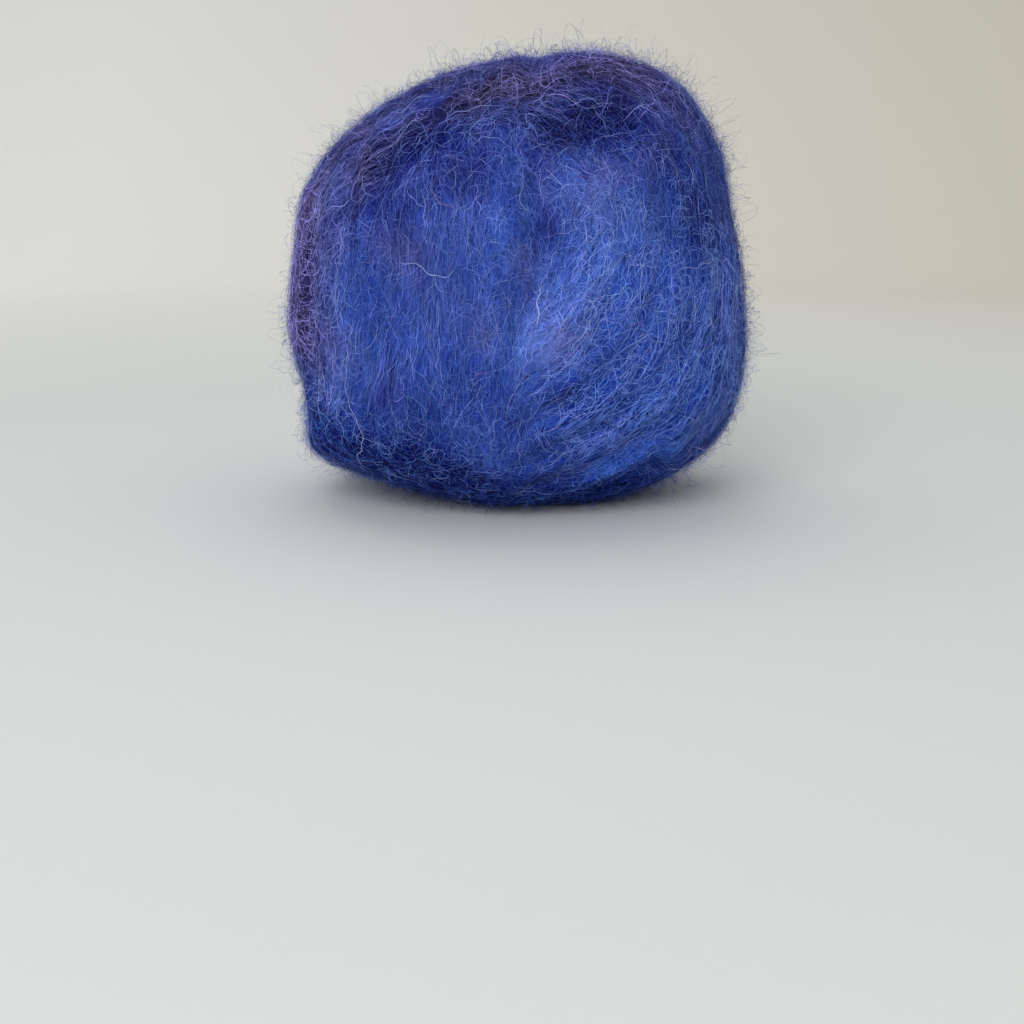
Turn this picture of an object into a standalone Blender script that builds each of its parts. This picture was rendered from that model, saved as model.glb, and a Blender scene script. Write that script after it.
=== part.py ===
"""A ball of wool roving: one length of carded wool wound by hand, modelled as one closed solid.

Metres, +Z up. The front of the ball faces -Y and its flat spot stands on z = 0.

The surface is given by how far it reaches from the ball's centre in each direction. The reach is a
squarish ball inside a measured front outline, plus the turns of roving that lie over one another,
the locks of wool that run along them, and the creases between them.
"""

from collections import namedtuple

import bmesh
import bpy
import numpy as np

MM = 0.001

# Driving sizes, in millimetres.
FRONT_REACH = 60.0      # from the centre to the front face
BACK_REACH = 58.0       # from the centre to the back face
CENTRE_HEIGHT = 61.8    # from the flat spot up to the centre
MEAN_RADIUS = 65.0      # turns angles into lengths along the surface
SQUARENESS = 2.25       # 2 is a round ball, more is boxier
CUBE_STEPS = 29         # quads along each side of the cube that is blown up into the ball
RIM_MERGE = 0.9         # points of the flat spot's rim closer than this become one

# Locks are the soft ridges of wool that run along each turn.
LOCK_HEIGHT = 0.8
LOCK_PITCH = 11.5
LUMP_HEIGHT = 0.9       # slow unevenness of the whole ball
TURN_FADE = 16.0        # degrees over which the end of a turn sinks into the ball
MEAN_RAISE = 2.6        # height of the turns that the outline below already includes
EVENING = 0.6           # share of the steps beneath it that a turn evens out

WOOL_COLOUR = (0.045, 0.072, 0.300, 1.0)
WOOL_ROUGHNESS = 0.85

# Front outline, anticlockwise from the right side as seen from the front.
Reach = namedtuple("Reach", "bearing reach")
OUTLINE = (
    Reach(0, 59.5),
    Reach(21, 59.0),
    Reach(39, 64.5),
    Reach(51, 67.0),
    Reach(63, 66.0),
    Reach(76, 63.5),
    Reach(90, 59.0),
    Reach(108, 57.0),
    Reach(129, 58.5),
    Reach(148, 61.5),
    Reach(160, 64.0),
    Reach(171, 63.5),
    Reach(190, 66.0),
    Reach(205, 67.5),
    Reach(219, 74.5),
    Reach(230, 69.0),
    Reach(241, 64.0),
    Reach(256, 62.0),
    Reach(272, 63.5),
    Reach(288, 64.5),
    Reach(306, 66.5),
    Reach(321, 67.5),
    Reach(336, 65.0),
    Reach(348, 61.5),
)

# Turns of roving, lowest first. A turn is a band around a pole. The pole's azimuth is counted from +X
# towards +Y and its tilt upwards. The band's middle and half width are angles from the pole, its start
# and end are angles along it from the pole's upper side, and it stands proud by its raised height.
Turn = namedtuple("Turn", "name azimuth tilt middle half edge start end raised")
TURNS = (
    Turn("rim_turn", -107, 13, 104, 21, 5, -180, 180, 1.6),
    Turn("left_coil", 178, 3, 24, 13, 6, -180, 180, 2.8),
    Turn("right_coil", 8, -6, 30, 17, 7, -180, 180, 2.0),
    Turn("back_cross", 38, 36, 84, 24, 6, 20, 215, 2.6),
    Turn("right_lobe", -107, 13, 53, 29, 9, -215, -20, 2.6),
    Turn("front_wrap", 180, 2, 62, 32, 8, -180, 180, 3.2),
    Turn("under_sweep", -104, 16, 101, 20, 7, 122, 238, 1.6),
    Turn("top_cap", -98, 14, 79, 24, 7, -82, 78, 1.8),
)

# Creases and hollows. Each runs straight from its start to its end, given as millimetres across and up
# from the centre, on the front (side -1) or the back (side 1) of the ball.
Crease = namedtuple("Crease", "name side start end half_width depth")
CREASES = (
    Crease("top_pocket", -1, (13, 40), (21, 37), 8.0, 5.0),
    Crease("groove_top", -1, (4, 28), (5, 10), 5.0, 1.8),
    Crease("groove_foot", -1, (5, 10), (-3, -13), 4.5, 1.8),
    Crease("soft_dent", -1, (-17, -21), (-15, -26), 5.5, 0.9),
    Crease("low_crease", -1, (-6, -58), (21, -53), 2.6, 2.2),
    Crease("right_dimple", -1, (31, -47), (36, -47), 3.4, 1.8),
    Crease("back_groove", 1, (-14, 22), (8, -20), 4.5, 2.2),
    Crease("back_pocket", 1, (22, 26), (27, 20), 7.0, 3.6),
)


def smooth_step(value):
    """Rise softly from 0 to 1 as the value goes from 0 to 1."""
    level = np.clip(value, 0.0, 1.0)
    return level * level * (3.0 - 2.0 * level)


def direction(azimuth, tilt):
    """Unit vector at an azimuth from +X and a tilt above the level, both in degrees."""
    turn, rise = np.radians((azimuth, tilt))
    return np.array((np.cos(rise) * np.cos(turn), np.cos(rise) * np.sin(turn), np.sin(rise)))


def closed_curve(rows, bearing):
    """Smooth closed curve through the rows, read at the bearings, in degrees from 0 to 360."""
    angles, values = np.array(rows, dtype=float).T
    angles = np.concatenate((angles - 360.0, angles, angles + 360.0))
    values = np.tile(values, 3)
    slopes = np.gradient(values, angles)
    low = np.searchsorted(angles, bearing, side="right") - 1
    high = low + 1
    span = angles[high] - angles[low]
    part = (bearing - angles[low]) / span
    rest = 1.0 - part
    from_low = rest * rest * ((1.0 + 2.0 * part) * values[low] + part * span * slopes[low])
    from_high = part * part * ((3.0 - 2.0 * part) * values[high] - rest * span * slopes[high])
    return from_low + from_high


def body_reach(rays):
    """Reach of the plain body: squarish in depth, with the measured outline from the front."""
    across, deep, up = rays.T
    bearing = np.degrees(np.arctan2(up, across)) % 360.0
    in_plane = np.hypot(across, up) / closed_curve(OUTLINE, bearing)
    in_depth = np.abs(deep) / np.where(deep < 0.0, FRONT_REACH, BACK_REACH)
    return (in_plane ** SQUARENESS + in_depth ** SQUARENESS) ** (-1.0 / SQUARENESS)


def turn_angles(turn, rays):
    """Angle of each ray from the turn's pole, and its angle along the turn, in degrees."""
    pole = direction(turn.azimuth, turn.tilt)
    start = np.array((0.0, 0.0, 1.0)) - pole[2] * pole
    start /= np.linalg.norm(start)
    from_pole = np.degrees(np.arccos(np.clip(rays @ pole, -1.0, 1.0)))
    along = np.degrees(np.arctan2(rays @ np.cross(pole, start), rays @ start))
    return from_pole, along


def turn_cover(turn, from_pole, along, number):
    """1 where the turn lies on top, falling softly to 0 at its edges and at its ends."""
    wander = 1.6 * np.sin(np.radians(2.0 * along + 70.0 * number))
    side = smooth_step((turn.half - np.abs(from_pole - turn.middle - wander)) / turn.edge)
    if turn.end - turn.start >= 360:
        return side
    past_start = (along - turn.start) % 360.0
    before_end = turn.end - turn.start - past_start
    return side * smooth_step(past_start / TURN_FADE) * smooth_step(before_end / TURN_FADE)


def lock_height(from_pole, along, number):
    """Soft ridges of wool along a turn, which sway and fade a little on their way round."""
    across = np.radians(from_pole) * MEAN_RADIUS
    sway = 1.8 * np.sin(np.radians(3.0 * along + 50.0 * number))
    swell = 0.65 + 0.35 * np.sin(np.radians(2.0 * along + 110.0 * number))
    return LOCK_HEIGHT * swell * np.sin(2.0 * np.pi * (across + sway) / LOCK_PITCH)


def turns_height(rays):
    """Height of the wound turns over the body, with the locks of whichever turn lies on top."""
    height = np.zeros(len(rays))
    locks = np.zeros(len(rays))
    for number, turn in enumerate(TURNS):
        from_pole, along = turn_angles(turn, rays)
        cover = turn_cover(turn, from_pole, along, number)
        height += cover * (turn.raised + EVENING * (MEAN_RAISE - height))
        locks += cover * (lock_height(from_pole, along, number) - locks)
    return height + locks


def surface_point(across, up, side):
    """Point of a plain round ball that lies at this place of its front or back."""
    deep = side * np.sqrt(MEAN_RADIUS ** 2 - across ** 2 - up ** 2)
    return np.array((across, deep, up))


def crease_depth(rays):
    """How far the creases and hollows sink into the ball."""
    points = rays * MEAN_RADIUS
    depth = np.zeros(len(rays))
    for crease in CREASES:
        start = surface_point(*crease.start, crease.side)
        run = surface_point(*crease.end, crease.side) - start
        part = np.clip((points - start) @ run / (run @ run), 0.0, 1.0)
        away = np.linalg.norm(points - start - part[:, None] * run, axis=1)
        depth += crease.depth * np.exp(-(away / crease.half_width) ** 2)
    return depth


def lumps(rays):
    """Slow unevenness of a ball that was wound by hand."""
    across, deep, up = rays.T
    first = np.sin(3.1 * across + 2.0 * deep + 0.7) * np.sin(2.7 * up - 1.9 * deep + 1.3)
    second = np.sin(4.3 * deep - 2.2 * up + 0.2) * np.sin(3.7 * across + 1.6 * up)
    return LUMP_HEIGHT * 0.5 * (first + second)


def ball_reach(rays):
    """Reach of the finished surface from the ball's centre, in millimetres."""
    return body_reach(rays) - MEAN_RAISE + turns_height(rays) + lumps(rays) - crease_depth(rays)


def cube_ball():
    """Closed mesh of even quads, as a cube whose points are blown out onto the ball's surface."""
    mesh = bmesh.new()
    bmesh.ops.create_cube(mesh, size=2.0)
    bmesh.ops.subdivide_edges(mesh, edges=mesh.edges, cuts=CUBE_STEPS - 1, use_grid_fill=True)
    cube = np.array([vertex.co for vertex in mesh.verts])
    spread = np.tan(cube * np.pi / 4.0)
    rays = spread / np.linalg.norm(spread, axis=1)[:, None]
    points = rays * ball_reach(rays)[:, None] * MM
    for vertex, point in zip(mesh.verts, points):
        vertex.co = point
    return mesh


def cut_flat_spot(mesh):
    """Cut the bottom level, so that the ball rests on a small flat spot, and close the cut."""
    floor = -CENTRE_HEIGHT * MM
    parts = mesh.verts[:] + mesh.edges[:] + mesh.faces[:]
    bmesh.ops.bisect_plane(
        mesh, geom=parts, dist=0.02 * MM, plane_co=(0, 0, floor), plane_no=(0, 0, -1), clear_outer=True
    )
    rim = [vertex for vertex in mesh.verts if abs(vertex.co.z - floor) < 0.05 * MM]
    bmesh.ops.remove_doubles(mesh, verts=rim, dist=RIM_MERGE * MM)
    border = [edge for edge in mesh.edges if edge.is_boundary]
    bmesh.ops.contextual_create(mesh, geom=border)
    for vertex in {vertex for edge in border if edge.is_valid for vertex in edge.verts}:
        vertex.co.z = floor


def stand_on_origin(mesh):
    """Move the ball so that its box is centred on the origin and stands on z = 0."""
    points = np.array([vertex.co for vertex in mesh.verts])
    low, high = points.min(axis=0), points.max(axis=0)
    shift = -(low + high) / 2.0
    shift[2] = -low[2]
    bmesh.ops.translate(mesh, verts=mesh.verts, vec=shift)


def wool_material():
    """Blue carded wool."""
    material = bpy.data.materials.new("wool")
    material.use_nodes = True
    shader = material.node_tree.nodes["Principled BSDF"]
    shader.inputs["Base Color"].default_value = WOOL_COLOUR
    shader.inputs["Roughness"].default_value = WOOL_ROUGHNESS
    shader.inputs["Metallic"].default_value = 0.0
    material.diffuse_color = WOOL_COLOUR
    return material


def wound_roving():
    """The wound ball, as one object."""
    mesh = cube_ball()
    cut_flat_spot(mesh)
    stand_on_origin(mesh)
    bmesh.ops.recalc_face_normals(mesh, faces=mesh.faces)
    data = bpy.data.meshes.new("wound_roving")
    mesh.to_mesh(data)
    mesh.free()
    data.shade_smooth()
    data.set_sharp_from_angle(angle=np.radians(65.0))
    data.materials.append(wool_material())
    ball = bpy.data.objects.new("wound_roving", data)
    bpy.context.scene.collection.objects.link(ball)
    return ball


def main():
    """Clear the scene and build the ball."""
    for item in list(bpy.data.objects):
        bpy.data.objects.remove(item)
    wound_roving()


main()
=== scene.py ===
"""Looks of the ball of wool roving: its wool surface, its fibres, the light, the floor and the camera.

Sizes are millimetres and angles are degrees, as in the part's source, until a mesh is made.
"""

import math
from collections import namedtuple

import bmesh
import bpy
import numpy as np
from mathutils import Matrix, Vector


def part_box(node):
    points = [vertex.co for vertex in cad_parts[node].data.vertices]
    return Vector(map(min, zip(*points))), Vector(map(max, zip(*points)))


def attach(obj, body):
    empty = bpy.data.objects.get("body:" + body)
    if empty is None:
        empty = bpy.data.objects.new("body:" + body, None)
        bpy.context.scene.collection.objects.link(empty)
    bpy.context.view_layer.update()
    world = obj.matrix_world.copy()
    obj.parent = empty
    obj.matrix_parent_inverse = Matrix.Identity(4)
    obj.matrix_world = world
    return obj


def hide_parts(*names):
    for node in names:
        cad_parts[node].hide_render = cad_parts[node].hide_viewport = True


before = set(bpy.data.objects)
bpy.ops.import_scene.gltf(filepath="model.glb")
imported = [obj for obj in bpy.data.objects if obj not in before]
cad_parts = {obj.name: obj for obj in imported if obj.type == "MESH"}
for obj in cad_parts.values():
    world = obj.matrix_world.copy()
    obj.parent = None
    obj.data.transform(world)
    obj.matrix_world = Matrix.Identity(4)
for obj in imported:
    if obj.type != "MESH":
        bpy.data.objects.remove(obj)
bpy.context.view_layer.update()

MM = 0.001
NODE = "wound_roving"
BODY = "root"

# ------------------------------------------------------------------------------
# Form of the ball, with the same values as the part's source.
# ------------------------------------------------------------------------------

FRONT_REACH = 60.0      # from the centre to the front face
BACK_REACH = 58.0       # from the centre to the back face
CENTRE_HEIGHT = 61.8    # from the flat spot up to the centre
MEAN_RADIUS = 65.0      # turns angles into lengths along the surface
SQUARENESS = 2.25       # 2 is a round ball, more is boxier
CUBE_STEPS = 29         # quads along each side of the cube that the solid is blown up from

LOCK_HEIGHT = 0.8       # height of the soft ridges along a turn
LOCK_PITCH = 11.5       # distance from one ridge to the next
LOCK_SWAY = 1.8         # how far the ridges sway to either side on their way round
LUMP_HEIGHT = 0.9       # slow unevenness of the whole ball
TURN_WANDER = 1.6       # degrees by which the sides of a turn wander on their way round
TURN_FADE = 16.0        # degrees over which the end of a turn sinks into the ball
MEAN_RAISE = 2.6        # height of the turns that the outline below already includes
EVENING = 0.6           # share of the steps beneath it that a turn evens out

Reach = namedtuple("Reach", "bearing reach")
OUTLINE = (
    Reach(0, 59.5),
    Reach(21, 59.0),
    Reach(39, 64.5),
    Reach(51, 67.0),
    Reach(63, 66.0),
    Reach(76, 63.5),
    Reach(90, 59.0),
    Reach(108, 57.0),
    Reach(129, 58.5),
    Reach(148, 61.5),
    Reach(160, 64.0),
    Reach(171, 63.5),
    Reach(190, 66.0),
    Reach(205, 67.5),
    Reach(219, 74.5),
    Reach(230, 69.0),
    Reach(241, 64.0),
    Reach(256, 62.0),
    Reach(272, 63.5),
    Reach(288, 64.5),
    Reach(306, 66.5),
    Reach(321, 67.5),
    Reach(336, 65.0),
    Reach(348, 61.5),
)

Turn = namedtuple("Turn", "name azimuth tilt middle half edge start end raised")
TURNS = (
    Turn("rim_turn", -107, 13, 104, 21, 5, -180, 180, 1.6),
    Turn("left_coil", 178, 3, 24, 13, 6, -180, 180, 2.8),
    Turn("right_coil", 8, -6, 30, 17, 7, -180, 180, 2.0),
    Turn("back_cross", 38, 36, 84, 24, 6, 20, 215, 2.6),
    Turn("right_lobe", -107, 13, 53, 29, 9, -215, -20, 2.6),
    Turn("front_wrap", 180, 2, 62, 32, 8, -180, 180, 3.2),
    Turn("under_sweep", -104, 16, 101, 20, 7, 122, 238, 1.6),
    Turn("top_cap", -98, 14, 79, 24, 7, -82, 78, 1.8),
)

Crease = namedtuple("Crease", "name side start end half_width depth")
CREASES = (
    Crease("top_pocket", -1, (13, 40), (21, 37), 8.0, 5.0),
    Crease("groove_top", -1, (4, 28), (5, 10), 5.0, 1.8),
    Crease("groove_foot", -1, (5, 10), (-3, -13), 4.5, 1.8),
    Crease("soft_dent", -1, (-17, -21), (-15, -26), 5.5, 0.9),
    Crease("low_crease", -1, (-6, -58), (21, -53), 2.6, 2.2),
    Crease("right_dimple", -1, (31, -47), (36, -47), 3.4, 1.8),
    Crease("back_groove", 1, (-14, 22), (8, -20), 4.5, 2.2),
    Crease("back_pocket", 1, (22, 26), (27, 20), 7.0, 3.6),
)


def smooth_step(value):
    """Rise softly from 0 to 1 as the value goes from 0 to 1."""
    level = np.clip(value, 0.0, 1.0)
    return level * level * (3.0 - 2.0 * level)


def unit(vectors):
    """Vectors scaled to length 1."""
    return vectors / np.linalg.norm(vectors, axis=-1, keepdims=True)


def direction(azimuth, tilt):
    """Unit vector at an azimuth from +X and a tilt above the level, both in degrees."""
    turn, rise = np.radians((azimuth, tilt))
    return np.array((np.cos(rise) * np.cos(turn), np.cos(rise) * np.sin(turn), np.sin(rise)))


def closed_curve(rows, bearing):
    """Smooth closed curve through the rows, read at the bearings, in degrees from 0 to 360."""
    angles, values = np.array(rows, dtype=float).T
    angles = np.concatenate((angles - 360.0, angles, angles + 360.0))
    values = np.tile(values, 3)
    slopes = np.gradient(values, angles)
    low = np.searchsorted(angles, bearing, side="right") - 1
    high = low + 1
    span = angles[high] - angles[low]
    part = (bearing - angles[low]) / span
    rest = 1.0 - part
    from_low = rest * rest * ((1.0 + 2.0 * part) * values[low] + part * span * slopes[low])
    from_high = part * part * ((3.0 - 2.0 * part) * values[high] - rest * span * slopes[high])
    return from_low + from_high


def body_reach(rays):
    """Reach of the plain body: squarish in depth, with the measured outline from the front."""
    across, deep, up = rays.T
    bearing = np.degrees(np.arctan2(up, across)) % 360.0
    in_plane = np.hypot(across, up) / closed_curve(OUTLINE, bearing)
    in_depth = np.abs(deep) / np.where(deep < 0.0, FRONT_REACH, BACK_REACH)
    return (in_plane ** SQUARENESS + in_depth ** SQUARENESS) ** (-1.0 / SQUARENESS)


def turn_angles(turn, rays):
    """Angle of each ray from the turn's pole, and its angle along the turn, in degrees."""
    pole = direction(turn.azimuth, turn.tilt)
    start = unit(np.array((0.0, 0.0, 1.0)) - pole[2] * pole)
    from_pole = np.degrees(np.arccos(np.clip(rays @ pole, -1.0, 1.0)))
    along = np.degrees(np.arctan2(rays @ np.cross(pole, start), rays @ start))
    return from_pole, along


def turn_cover(turn, from_pole, along, number):
    """1 where the turn lies on top, falling softly to 0 at its edges and at its ends."""
    wander = TURN_WANDER * np.sin(np.radians(2.0 * along + 70.0 * number))
    side = smooth_step((turn.half - np.abs(from_pole - turn.middle - wander)) / turn.edge)
    if turn.end - turn.start >= 360:
        return side
    past_start = (along - turn.start) % 360.0
    before_end = turn.end - turn.start - past_start
    return side * smooth_step(past_start / TURN_FADE) * smooth_step(before_end / TURN_FADE)


def lock_height(from_pole, along, number):
    """Soft ridges of wool along a turn, which sway and fade a little on their way round."""
    across = np.radians(from_pole) * MEAN_RADIUS
    sway = LOCK_SWAY * np.sin(np.radians(3.0 * along + 50.0 * number))
    swell = 0.65 + 0.35 * np.sin(np.radians(2.0 * along + 110.0 * number))
    return LOCK_HEIGHT * swell * np.sin(2.0 * np.pi * (across + sway) / LOCK_PITCH)


def turns_height(rays):
    """Height of the wound turns over the body, with the locks of whichever turn lies on top."""
    height = np.zeros(len(rays))
    locks = np.zeros(len(rays))
    for number, turn in enumerate(TURNS):
        from_pole, along = turn_angles(turn, rays)
        cover = turn_cover(turn, from_pole, along, number)
        height += cover * (turn.raised + EVENING * (MEAN_RAISE - height))
        locks += cover * (lock_height(from_pole, along, number) - locks)
    return height + locks


def surface_point(across, up, side):
    """Point of a plain round ball that lies at this place of its front or back."""
    deep = side * np.sqrt(MEAN_RADIUS ** 2 - across ** 2 - up ** 2)
    return np.array((across, deep, up))


def near_places(rows, rays):
    """How near each ray is to each of the rows' places, from 0 to 1."""
    points = rays * MEAN_RADIUS
    near = np.zeros((len(rays), len(rows)))
    for column, row in enumerate(rows):
        start = surface_point(*row.start, row.side)
        run = surface_point(*row.end, row.side) - start
        part = np.clip((points - start) @ run / (run @ run), 0.0, 1.0)
        away = np.linalg.norm(points - start - part[:, None] * run, axis=1)
        near[:, column] = np.exp(-((away / row.half_width) ** 2))
    return near


def crease_depth(rays):
    """How far the creases and hollows sink into the ball."""
    return near_places(CREASES, rays) @ [crease.depth for crease in CREASES]


def lumps(rays):
    """Slow unevenness of a ball that was wound by hand."""
    across, deep, up = rays.T
    first = np.sin(3.1 * across + 2.0 * deep + 0.7) * np.sin(2.7 * up - 1.9 * deep + 1.3)
    second = np.sin(4.3 * deep - 2.2 * up + 0.2) * np.sin(3.7 * across + 1.6 * up)
    return LUMP_HEIGHT * 0.5 * (first + second)


def ball_reach(rays):
    """Reach of the finished surface from the ball's centre, in millimetres."""
    return body_reach(rays) - MEAN_RAISE + turns_height(rays) + lumps(rays) - crease_depth(rays)


def cube_rays(steps):
    """Cube of even quads, as a bmesh, and the ray from the centre through each of its points."""
    mesh = bmesh.new()
    bmesh.ops.create_cube(mesh, size=2.0)
    bmesh.ops.subdivide_edges(mesh, edges=mesh.edges, cuts=steps - 1, use_grid_fill=True)
    cube = np.array([vertex.co for vertex in mesh.verts])
    return mesh, unit(np.tan(cube * np.pi / 4.0))


def centre_of_ball():
    """Where the form's centre stands in the frame, in metres, so that both boxes have one middle."""
    mesh, rays = cube_rays(CUBE_STEPS)
    mesh.free()
    points = rays * ball_reach(rays)[:, None] * MM
    middle = (points.min(axis=0) + points.max(axis=0)) / 2.0
    low, high = np.array(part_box(NODE))
    centre = (low + high) / 2.0 - middle
    centre[2] = low[2] + CENTRE_HEIGHT * MM
    return centre


CENTRE = centre_of_ball()

# ------------------------------------------------------------------------------
# Noise and the lie of the wool
# ------------------------------------------------------------------------------

NOISE_SEED = 11
NOISE_CELLS = 32        # cells along each side of the noise, which then repeats
NOISE_TABLE = np.random.default_rng(NOISE_SEED).random((NOISE_CELLS, NOISE_CELLS, NOISE_CELLS))
NOT_ZERO = 1e-9         # keeps the run of a turn finite at its pole


def noise(points):
    """Smooth noise from 0 to 1 at the points, one cell to a unit, the same each run."""
    cell = np.floor(points).astype(int)
    part = smooth_step(points - cell)
    total = np.zeros(len(points))
    for corner in np.ndindex(2, 2, 2):
        weight = np.prod(np.where(corner, part, 1.0 - part), axis=1)
        x, y, z = ((cell + corner) % NOISE_CELLS).T
        total += weight * NOISE_TABLE[x, y, z]
    return total


# Soft noise over the ball: how many cells go to the radius, where in the noise it starts, so that no
# two are alike, and its share of a mix.
Field = namedtuple("Field", "fineness start share", defaults=(1.0,))
DRIFTS = (
    Field(4.2, 3.0, 0.6),
    Field(9.0, 11.0, 0.4),
)
VIOLET_FIELD = Field(6.0, 20.0)
FLUFF_FIELD = Field(5.0, 40.0)
TANGLE_FIELD = Field(4.0, 50.0)
RAGGED_FIELD = Field(24.0, 60.0)

# Noise drawn out along the wool: the length and width of its streaks in millimetres, which slice of
# the noise it takes, and its share of a mix.
Streak = namedtuple("Streak", "length width slice share")
STREAKS = (
    Streak(14.0, 3.4, 0.0, 0.45),
    Streak(6.0, 1.2, 9.5, 0.55),
)
STRANDS = (
    Streak(8.0, 2.2, 0.0, 0.5),
    Streak(16.0, 5.0, 7.5, 0.5),
)


def field_noise(field, rays):
    """Noise of one field from 0 to 1 at the rays."""
    return noise(rays * field.fineness + field.start)


def streak_noise(streak, run):
    """Noise of one kind of streak from 0 to 1, at places along and across the wool."""
    along, across = run.T
    slices = np.full(len(run), streak.slice)
    return noise(np.stack((along / streak.length, across / streak.width, slices), axis=1))


def blend(kind_of_noise, rows, places):
    """Mix of the rows' noise by their shares, from -1 to 1."""
    return 2.0 * sum(row.share * kind_of_noise(row, places) for row in rows) - 1.0


# Fibres do not follow a turn everywhere. These rows comb them round where they lie otherwise, and
# raise nothing. Each is given with the number of the turn that it comes before, or is last.
COMBED = (
    (5, Turn("inner_lobe", -107, 13, 38, 30, 6, -215, -20, 0.0)),
    (8, Turn("top_comb", -90, 2, 72, 36, 10, -50, 88, 0.0)),
    (8, Turn("heel_comb", -107, 13, 68, 15, 8, 118, 234, 0.0)),
    (8, Turn("foot_comb", -107, 13, 92, 24, 8, 118, 250, 0.0)),
)


def lie_rows():
    """The turns and the combed places in the order in which they lie on one another."""
    rows = []
    for number, turn in enumerate(TURNS):
        rows += [(combed, number) for before, combed in COMBED if before == number]
        rows.append((turn, number))
    return rows + [(combed, before) for before, combed in COMBED if before == len(TURNS)]


LIE = lie_rows()


def same_way(vectors, others):
    """Sign that turns each vector to point the way of the other, as fibres have no front or back."""
    return np.where(np.sum(vectors * others, axis=1) < 0.0, -1.0, 1.0)[:, None]


def lie_of_wool(rays):
    """Unit direction in which the fibres of the topmost turn run at each ray."""
    first = TURNS[0]
    flow = np.cross(direction(first.azimuth, first.tilt), rays)
    for turn, number in LIE:
        cover = turn_cover(turn, *turn_angles(turn, rays), number)
        onward = unit(np.cross(direction(turn.azimuth, turn.tilt), rays) + NOT_ZERO)
        onward *= same_way(onward, flow)
        flow += cover[:, None] * (onward - flow)
    return unit(flow - np.sum(flow * rays, axis=1)[:, None] * rays)


PROBE_STEP = 0.012                  # how far off the ray, in parts of the radius, the slope is read
PROBE_ACROSS = (0.31, 0.52, 0.79)   # the first slope is read at a right angle to this


def surface_normals(rays, reach):
    """Outward unit normals of the ball at the rays."""
    normals = rays.copy()
    first = unit(np.cross(rays, PROBE_ACROSS))
    for way in (first, np.cross(rays, first)):
        slope = (ball_reach(unit(rays + PROBE_STEP * way)) - reach) / (PROBE_STEP * reach)
        normals -= slope[:, None] * way
    return unit(normals)


# ------------------------------------------------------------------------------
# Meshes from arrays
# ------------------------------------------------------------------------------


def mesh_of_quads(name, points, quads):
    """Object made of the points, in millimetres from the ball's centre, and the quads."""
    data = bpy.data.meshes.new(name)
    data.vertices.add(len(points))
    data.vertices.foreach_set("co", (points * MM + CENTRE).astype(np.float32).ravel())
    data.loops.add(quads.size)
    data.loops.foreach_set("vertex_index", quads.astype(np.int32).ravel())
    data.polygons.add(len(quads))
    data.polygons.foreach_set("loop_start", np.arange(0, quads.size, 4, dtype=np.int32))
    data.update(calc_edges=True)
    data.shade_smooth()
    piece = bpy.data.objects.new(name, data)
    bpy.context.scene.collection.objects.link(piece)
    return piece


def keep_on_floor(points, least):
    """Lift the points that would lie lower than this many millimetres above the floor."""
    points[:, 2] = np.maximum(points[:, 2], least - CENTRE_HEIGHT)


# ------------------------------------------------------------------------------
# Colour of the wool
# ------------------------------------------------------------------------------

# Colours of the wool from its darkest to its lightest, in linear light.
Shade = namedtuple("Shade", "level red green blue")
SHADES = (
    Shade(0.00, 0.001, 0.003, 0.085),
    Shade(0.25, 0.008, 0.021, 0.230),
    Shade(0.50, 0.028, 0.069, 0.385),
    Shade(0.75, 0.067, 0.143, 0.545),
    Shade(1.00, 0.150, 0.255, 0.765),
    Shade(1.35, 0.310, 0.430, 0.900),
)
PURPLE_WOOL = (0.112, 0.086, 0.258)
BLUER = np.array((-0.42, -0.12, 0.18))          # what a purple of -1 does to red, green and blue
EYE = np.array((0.2126, 0.7152, 0.0722))        # how light red, green and blue look
MEAN_LEVEL = 0.55       # level of the wool where nothing makes it darker or lighter
DRIFT = 0.17            # how far the level drifts over the ball
STREAK = 0.16           # how far it differs from one streak of wool to the next, partly the wool's uneven tone and partly painted shade in the gaps between its locks
STREAK_CALM = 0.5       # share of that which is lost where the fibres' contrast is high
SURFACE_PAINTED_SHADE = -0.10   # how much darker the wool under the fibres is painted, as shade in the depth between them
VIOLET_FROM = 0.62      # noise over which the wool turns violet by chance
VIOLET_GAIN = 1.1       # and how fast it does so
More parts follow.
